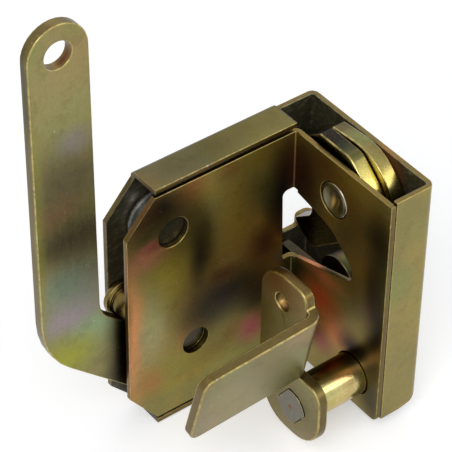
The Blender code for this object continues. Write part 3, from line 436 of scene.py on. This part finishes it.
def plated(
    name,
    base=OLIVE,
    second=GOLD,
    tints=(),
    rough=0.34,
    line=(1, 1, 1),
    dark=None,
    flow=1.0,
    steel=None,
    wear=1.0,
    pits=1.0,
    over=(),
):
    """Yellow passivated zinc: drifting hues, patches, grain, scuffs, cut edges and worn corners.

    The grain is stretched by line. The masks dark and steel say where dust and painted shade lie and where the
    plating is gone.
    """
    finish = Finish(name)
    warped = finish.warped(0.006, 40.0)
    colour = finish.patched(drifting(finish, warped, base, second, flow), warped, tints)
    grain = finish.noise(finish.place, 1300.0, 5.0, 0.7)
    rolled = finish.noise(finish.stretched(finish.place, line), 1.0, 4.0, 0.6)
    smudge = finish.noise(finish.warped(0.004, 150.0), 170.0, 4.0, 0.6)
    tone = 0.60 + grain * 0.62 + rolled * 0.20 - finish.ramp(smudge, 0.50, 0.74, 0.0, 0.16)
    scratch = scratched(finish)
    colour = finish.blend(scratch * 0.22, finish.scaled(colour, tone), STRAW)
    rim = finish.attribute("rim")
    edge = finish.attribute("edge")
    torn = finish.noise(finish.place, 700.0, 3.0, 0.6)
    colour = finish.blend(rim * 0.75, colour, finish.blend(torn, shade(80, 60, 32), shade(110, 94, 52)))
    metal = 1.0
    if dark is not None:
        # Inside the box, dust and a painted shade darken the plating
        shadowed = dark(finish, rim)
        colour = finish.blend(shadowed, colour, dust_and_shade(finish))
        metal = 1 - shadowed * 0.8
    if steel is not None:
        bare_metal = finish.blend(torn, STEEL, shade(104, 98, 84))
        colour = finish.blend(steel(finish), colour, finish.scaled(bare_metal, 0.72 + grain * 0.4))
    colour = finish.patched(colour, warped, over, tone)
    worn = finish.noise(finish.place, 420.0, 4.0, 0.65)
    bare = edge * finish.ramp(worn, 0.36, 0.66, 0.22, 0.62) * wear
    nicks = finish.noise(finish.place, 900.0, 2.0, 0.6)
    chips = chipped(finish)
    colour = finish.blend(bare, colour, BRIGHT)
    colour = finish.blend(edge * finish.ramp(nicks, 0.64, 0.72) * 0.6, colour, PALE)
    finish.into("Base Color", finish.blend(chips * 0.45, colour, PALE))
    finish.into("Metallic", metal)
    finish.into("Roughness", rough + (grain - 0.5) * 0.20 + (rolled - 0.5) * 0.12 - bare * 0.08 + scratch * 0.05)
    waves = finish.noise(finish.place, 60.0, 2.0, 0.5)
    height = grain * 0.3 * pits + rolled * 0.5 - scratch * 0.4 - chips * 0.3 + waves * 0.25 + smudge * 0.08 * pits
    finish.into("Normal", finish.node("ShaderNodeBump", {}, {"Strength": 0.2, "Distance": 0.00012, "Height": height}))
    return finish.material


def bare_steel(
    name,
    base=STEEL,
    rough=0.32,
    turned_axis=None,
    centre=(0, 0, 0),
    rust=0.2,
    metal=1.0,
    front=None,
    painted_light=(),
):
    """Turned steel, brown in its grain, with painted highlights and painted shade laid over it. What lies before
    front on Y is painted darker, as shade.
    """
    finish = Finish(name)
    grain = finish.noise(finish.place, 1100.0, 5.0, 0.65)
    cloud = finish.noise(finish.place, 160.0, 4.0, 0.6)
    colour = finish.blend(finish.ramp(cloud, 0.42, 0.70, 0.0, rust * 2), base, shade(92, 78, 56))
    tone = 0.82 + grain * 0.30
    if turned_axis is not None:
        offset = finish.vector("SUBTRACT", finish.place, [part * MM for part in centre])
        across = finish.vector("MULTIPLY", offset, [float(axis != turned_axis) for axis in "XYZ"])
        sockets = {"W": finish.length(across), "Scale": 4200.0, "Detail": 3.0}
        rings = finish.node("ShaderNodeTexNoise", {"noise_dimensions": "1D"}, sockets)
        tone = tone + (rings - 0.5) * 0.35
    edge = finish.attribute("edge")
    # Eased edges painted lighter: a painted highlight on the rims
    colour = finish.blend(edge * 0.7, finish.scaled(colour, tone), shade(190, 186, 170))
    # The face towards the cover gets a painted shade
    if front is not None:
        shaded_front = finish.split(finish.place)[1] < front
        colour = finish.blend(shaded_front * 0.9, colour, finish.blend(cloud, shade(58, 55, 42), shade(84, 80, 62)))
    finish.into("Base Color", finish.patched(colour, finish.warped(0.0012, 380.0), painted_light))
    finish.into("Metallic", metal)
    finish.into("Roughness", rough + (grain - 0.5) * 0.2 - edge * 0.08)
    finish.into("Normal", finish.node("ShaderNodeBump", {}, {"Strength": 0.18, "Distance": 0.0001, "Height": tone}))
    return finish.material


def only(thing):
    """Selects one object and makes it active."""
    bpy.ops.object.select_all(action="DESELECT")
    thing.select_set(True)
    bpy.context.view_layer.objects.active = thing


def apply_all(thing):
    """Applies the modifiers of an object in their order."""
    only(thing)
    for modifier in list(thing.modifiers):
        bpy.ops.object.modifier_apply(modifier=modifier.name)


def write_values(mesh, name, domain, values):
    attribute = mesh.attributes.new(name, "FLOAT", domain)
    attribute.data.foreach_set("value", values)


def faces_by_edge(mesh):
    """The indices of the faces on each edge."""
    found = {}
    for face in mesh.polygons:
        for key in face.edge_keys:
            found.setdefault(key, []).append(face.index)
    return found


def level_patches(mesh, by_edge):
    """Yields each group of faces that run into each other without a sharp edge, and the length of its border."""
    limit = math.cos(math.radians(PATCH_ANGLE))
    points = [vertex.co for vertex in mesh.vertices]
    seen = set()
    for seed in range(len(mesh.polygons)):
        if seed in seen:
            continue
        seen.add(seed)
        queue, patch, border = [seed], [], 0.0
        while queue:
            here = mesh.polygons[queue.pop()]
            patch.append(here.index)
            for key in here.edge_keys:
                others = [index for index in by_edge[key] if index != here.index]
                level = [index for index in others if mesh.polygons[index].normal.dot(here.normal) > limit]
                if not level:
                    border += (points[key[0]] - points[key[1]]).length
                for index in level:
                    if index not in seen:
                        seen.add(index)
                        queue.append(index)
        yield patch, border


def mark_rims(mesh, width):
    """Marks the narrow patches that are cut edges and bores, and writes how far each edge is eased."""
    by_edge = faces_by_edge(mesh)
    shares = {}
    rims = [0.0] * len(mesh.polygons)
    for patch, border in level_patches(mesh, by_edge):
        area = sum(mesh.polygons[index].area for index in patch)
        share = 1.0 if area > SMALL_PATCH else SMALL_SHARE
        narrow = border and 2 * area / border < width
        for index in patch:
            rims[index] = float(bool(narrow))
            for key in mesh.polygons[index].edge_keys:
                shares[key] = min(share, shares.get(key, 1.0))
    bend = math.cos(math.radians(SHARP_ANGLE))
    eased_by = []
    for edge in mesh.edges:
        sides = by_edge.get(tuple(edge.key), [])
        sharp = len(sides) == 2 and mesh.polygons[sides[0]].normal.dot(mesh.polygons[sides[1]].normal) < bend
        eased_by.append(shares.get(tuple(edge.key), 1.0) if sharp else 0.0)
    write_values(mesh, "rim", "FACE", rims)
    write_values(mesh, "bevel_weight_edge", "EDGE", eased_by)


def drop_old_normals(mesh):
    """Takes off the normals that came with a mesh, so that its new faces get their own."""
    if mesh.attributes.get("custom_normal"):
        mesh.attributes.remove(mesh.attributes["custom_normal"])


def smooth(thing):
    """Shades rounded edges smoothly and leaves the large faces flat."""
    only(thing)
    bpy.ops.object.shade_smooth_by_angle(angle=math.radians(SMOOTH_ANGLE))
    weighted = thing.modifiers.new("Flat faces stay flat", "WEIGHTED_NORMAL")
    weighted.weight = 100
    weighted.keep_sharp = True
    apply_all(thing)


def eased(node, width, rim):
    """A merged copy of a solid with its sharp edges rounded over, all sizes in millimetres.

    The face attribute edge is 1 on the rounding.
    """
    mesh = NODES[node].data.copy()
    mesh.materials.clear()
    thing = bpy.data.objects.new(node + "_finished", mesh)
    bpy.context.collection.objects.link(thing)
    only(thing)
    bpy.ops.object.mode_set(mode="EDIT")
    bpy.ops.mesh.select_all(action="SELECT")
    bpy.ops.mesh.remove_doubles(threshold=MERGE * MM)
    bpy.ops.mesh.dissolve_limited(angle_limit=math.radians(FLAT_ANGLE), delimit=set())
    bpy.ops.mesh.quads_convert_to_tris(quad_method="BEAUTY", ngon_method="BEAUTY")
    bpy.ops.object.mode_set(mode="OBJECT")
    drop_old_normals(mesh)
    mark_rims(mesh, rim * MM)
    # The bevel gives its own faces the second of two passing materials
    passing = [bpy.data.materials.new(name) for name in ("plain", "edge")]
    for material in passing:
        mesh.materials.append(material)
    mesh.polygons.foreach_set("material_index", [0] * len(mesh.polygons))
    bevel = thing.modifiers.new("Eased edges", "BEVEL")
    bevel.width = width * MM
    bevel.segments = 2
    bevel.limit_method = "WEIGHT"
    bevel.use_clamp_overlap = False
    bevel.loop_slide = False
    bevel.miter_outer = "MITER_ARC"
    bevel.material = 1
    apply_all(thing)
    mesh = thing.data
    write_values(mesh, "edge", "FACE", [float(face.material_index == 1) for face in mesh.polygons])
    mesh.polygons.foreach_set("material_index", [0] * len(mesh.polygons))
    mesh.materials.clear()
    for material in passing:
        bpy.data.materials.remove(material)
    smooth(thing)
    return thing


def sunk(thing, place, radii, depth):
    """Presses a round dish with sloping sides into a piece, from place along +X, in millimetres."""
    outer, inner = radii
    slope = (outer - inner) / depth
    bpy.ops.object.select_all(action="DESELECT")
    bpy.ops.mesh.primitive_cone_add(
        vertices=48, radius1=(outer + slope * PROUD) * MM, radius2=inner * MM, depth=(depth + PROUD) * MM
    )
    tool = bpy.context.object
    turn = Matrix.Rotation(math.radians(90), 4, "Y")
    x, y, z = place
    centre = Vector((x + (depth - PROUD) / 2, y, z)) * MM
    tool.data.transform(Matrix.Translation(centre) @ turn)
    cut = thing.modifiers.new("Dish", "BOOLEAN")
    cut.operation = "DIFFERENCE"
    cut.solver = "EXACT"
    cut.object = tool
    apply_all(thing)
    bpy.data.objects.remove(tool)
    drop_old_normals(thing.data)
    smooth(thing)


def dress(thing, material, node):
    """Puts a finished piece in the place of its solid, on the same body."""
    thing.data.materials.clear()
    thing.data.materials.append(material)
    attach(thing, BODY_OF[node])
    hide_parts(node)


def paint(node, material):
    """Gives a solid that is shown as it is its material."""
    mesh = NODES[node].data
    mesh.materials.clear()
    mesh.materials.append(material)


def make_camera():
    data = bpy.data.cameras.new("photo_camera")
    data.lens = CAMERA_LENS
    data.sensor_width = CAMERA_SENSOR
    data.sensor_fit = "HORIZONTAL"
    data.clip_start = 0.02
    data.clip_end = 20.0
    camera = bpy.data.objects.new("photo_camera", data)
    bpy.context.collection.objects.link(camera)
    turned = Matrix((CAMERA_RIGHT, CAMERA_UP, CAMERA_BACK)).transposed()
    camera.matrix_world = Matrix.Translation(CAMERA_PLACE) @ turned.to_4x4()
    bpy.context.scene.camera = camera


def add_lamp(name, place, aim, size, power):
    data = bpy.data.lights.new(name, "AREA")
    data.shape = "RECTANGLE"
    data.size, data.size_y = size
    data.energy = power
    lamp = bpy.data.objects.new(name, data)
    bpy.context.collection.objects.link(lamp)
    lamp.location = place
    lamp.rotation_euler = (Vector(aim) - Vector(place)).to_track_quat("-Z", "Y").to_euler()


def make_world():
    world = bpy.data.worlds.new("studio")
    bpy.context.scene.world = world
    world.use_nodes = True
    nodes = Nodes(world.node_tree)
    soft = nodes.node("ShaderNodeBackground", {}, {"Color": (0.95, 0.97, 1.0, 1), "Strength": SOFT_LIGHT})
    white = nodes.node("ShaderNodeBackground", {}, {"Color": (1, 1, 1, 1), "Strength": 1.0})
    light = nodes.node("ShaderNodeMixShader", {}, {0: nodes.seen_directly(), 1: soft, 2: white})
    nodes.tree.links.new(light.socket, nodes.tree.nodes["World Output"].inputs[0])


def make_floor(height):
    bpy.ops.object.select_all(action="DESELECT")
    bpy.ops.mesh.primitive_plane_add(size=6.0, location=(0, 0, 0))
    floor = bpy.context.object
    floor.name = "studio_floor"
    floor.data.transform(Matrix.Translation((0, 0, height)))
    finish = Finish("floor_paper")
    fibres = finish.noise(finish.place, 260.0, 4.0, 0.6)
    finish.into("Base Color", finish.blend(fibres, (0.86, 0.86, 0.86, 1), (0.90, 0.90, 0.90, 1)))
    finish.into("Roughness", 0.9)
    finish.into("Specular IOR Level", 0.1)
    finish.into("Emission Color", finish.blend(finish.seen_directly(), (0, 0, 0, 1), (1, 1, 1, 1)))
    finish.into("Emission Strength", SOFT_LIGHT)
    floor.data.materials.append(finish.material)


def make_stage():
    bpy.context.scene.view_settings.view_transform = "Standard"
    make_camera()
    make_world()
    make_floor(solid_box[0].z - FLOOR_GAP)
    for name, (place, aim, size, power) in LAMPS.items():
        add_lamp(name, place, aim, size, power)


def box_dust_and_shade(finish, rim):
    """Where dust and painted shade lie: within the walls of the casing's box, and behind panel A; the rims on top are
    left lighter.
    """
    inner = SHEET - DARK_MARGIN
    low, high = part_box("casing")
    wall_in = high.x - inner * MM
    back_in = -inner * MM
    x, y, z = finish.split(finish.place)
    hollow = (x < wall_in) * (x > BOX_LEFT) * (y < back_in) * (y > low.y + inner * MM)
    channel = (x < wall_in) * (y < back_in) * (y > COVER_FRONT) * (z < high.z - inner * MM)
    deep = hollow.sum("MAXIMUM", hollow, channel) * 0.88
    return deep * (1 - rim * (z > high.z - inner * MM) * 0.85)


def shaft_end(finish):
    """Where the shaft's plating is gone: its flatted end, out of the lever."""
    return finish.split(finish.place)[0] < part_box("release_shaft")[0].x + SHAFT_END * MM


def make_finishes():
    upright = (60, 60, 900)
    forged = {"line": (200, 60, 60), "flow": 2.0}
    boss_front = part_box("upper_spacer_boss")[0].y + 0.35 * MM
    return {
        "cover": plated("cover_passivated_zinc", tints=COVER_HUES_AND_SHADE, line=upright, wear=0.6, over=LIP_GLOW),
        "casing": plated(
            "casing_passivated_zinc",
            shade(128, 118, 70),
            shade(142, 128, 72),
            CASING_TOP_SHADE,
            line=upright,
            dark=box_dust_and_shade,
            wear=0.6,
            over=WALL_GLOW,
        ),
        "arm": plated(
            "arm_passivated_zinc",
            shade(130, 130, 82),
            shade(134, 126, 76),
            ARM_HUES_AND_SHADE,
            line=(900, 60, 60),
            over=ARM_GLOW,
        ),
        "lever": plated(
            "lever_passivated_zinc",
            shade(116, 104, 56),
            shade(132, 118, 70),
            LEVER_TINTS,
            rough=0.38,
            line=upright,
            over=HOLE_GLOW,
        ),
        "claw": plated(
            "claw_forged_zinc", shade(96, 88, 56), shade(70, 60, 38), CLAW_HIGHLIGHT_AND_DARKS, rough=0.24, pits=3.0, **forged
        ),
        "hook": plated(
            "hook_forged_zinc", shade(82, 74, 48), shade(58, 50, 34), HOOK_HIGHLIGHT_AND_DARKS, rough=0.27, pits=4.0, **forged
        ),
        # The pawl and cam lie deep in the box; their dark colours partly paint the shade there
        "pawl": plated("pawl_shaded_zinc", shade(56, 51, 38), shade(38, 34, 28), rough=0.4, wear=0.5, **forged),
        # The shaft's light base colours partly paint its highlight
        "shaft": plated(
            "shaft_turned_zinc",
            shade(204, 192, 130),
            shade(190, 170, 104),
            SHAFT_REFLECTION_BANDS,
            rough=0.2,
            line=(1500, 60, 60),
            steel=shaft_end,
            over=PUNCH_MARK,
        ),
        "gold": plated("stud_gold_zinc", shade(112, 96, 54), shade(92, 78, 48), rough=0.3, line=(60, 900, 60)),
        "steel": bare_steel(
            "rivet_steel", shade(122, 116, 92), turned_axis="X", centre=RIVET_CENTRE, painted_light=DISH_REFLECTIONS
        ),
        "boss": bare_steel(
            "boss_turned_steel", shade(132, 133, 128), 0.26, "Y", BOSS_CENTRE, 0.1, 0.8, boss_front, BOSS_HIGHLIGHT_AND_SHADE
        ),
        "dark": bare_steel("stud_dark_steel", shade(84, 80, 68), 0.36, "Y", STUD_CENTRE, 0.3),
        "spring": bare_steel("spring_wire_steel", shade(92, 92, 90), 0.3, rust=0.15),
    }


# Each piece's finish, how far its edges are eased, and the width below which a patch is a cut edge, in millimetres
FINISH_OF = {
    "casing": ("casing", 0.35, 3.4),
    "cover_plate": ("cover", 0.28, 3.4),
    "outer_arm": ("arm", 0.40, 6.0),
    "release_lever": ("lever", 0.55, 6.0),
    "release_shaft": ("shaft", 0.25, 0.5),
    "release_cam": ("pawl", 0.40, 0.5),
    "pawl": ("pawl", 0.40, 0.5),
    "shaft_end_washer": ("steel", 0.20, 0.5),
    "rotor_hook_plate": ("hook", 0.60, 0.5),
    "rotor_ratchet_plate": ("claw", 0.50, 0.5),
    "rotor_rivet_upper": ("steel", 0.30, 0.5),
    "rotor_rivet_lower": ("steel", 0.30, 0.5),
    "rotor_pivot_rivet": ("steel", 0.35, 0.5),
    "rotor_spacer_sleeve": ("dark", 0.15, 0.5),
    "rotor_thrust_washer": ("dark", 0.10, 0.5),
    "upper_spacer_boss": ("boss", 0.30, 0.5),
    "arm_stop_stud": ("gold", 0.30, 0.5),
    "arm_pivot_stud": ("dark", 0.30, 0.5),
    "arm_front_washer": ("gold", 0.25, 0.5),
}
# The dish in a piece: where it starts, its rim and floor radii and its depth, in millimetres
DISHES = {
    "rotor_pivot_rivet": ((35.6, -35.7, 35.4), (5.7, 1.8), 1.9),
    "release_shaft": ((7.7, -50.8, -36.2), (1.3, 0.1), 0.9),
}
SPRINGS = ("rotor_spring", "shaft_spring", "arm_return_spring")

make_stage()
finishes = make_finishes()
for node, (finish_name, ease, rim_width) in FINISH_OF.items():
    piece = eased(node, ease, rim_width)
    if node in DISHES:
        sunk(piece, *DISHES[node])
    dress(piece, finishes[finish_name], node)
for node in SPRINGS:
    paint(node, finishes["spring"])
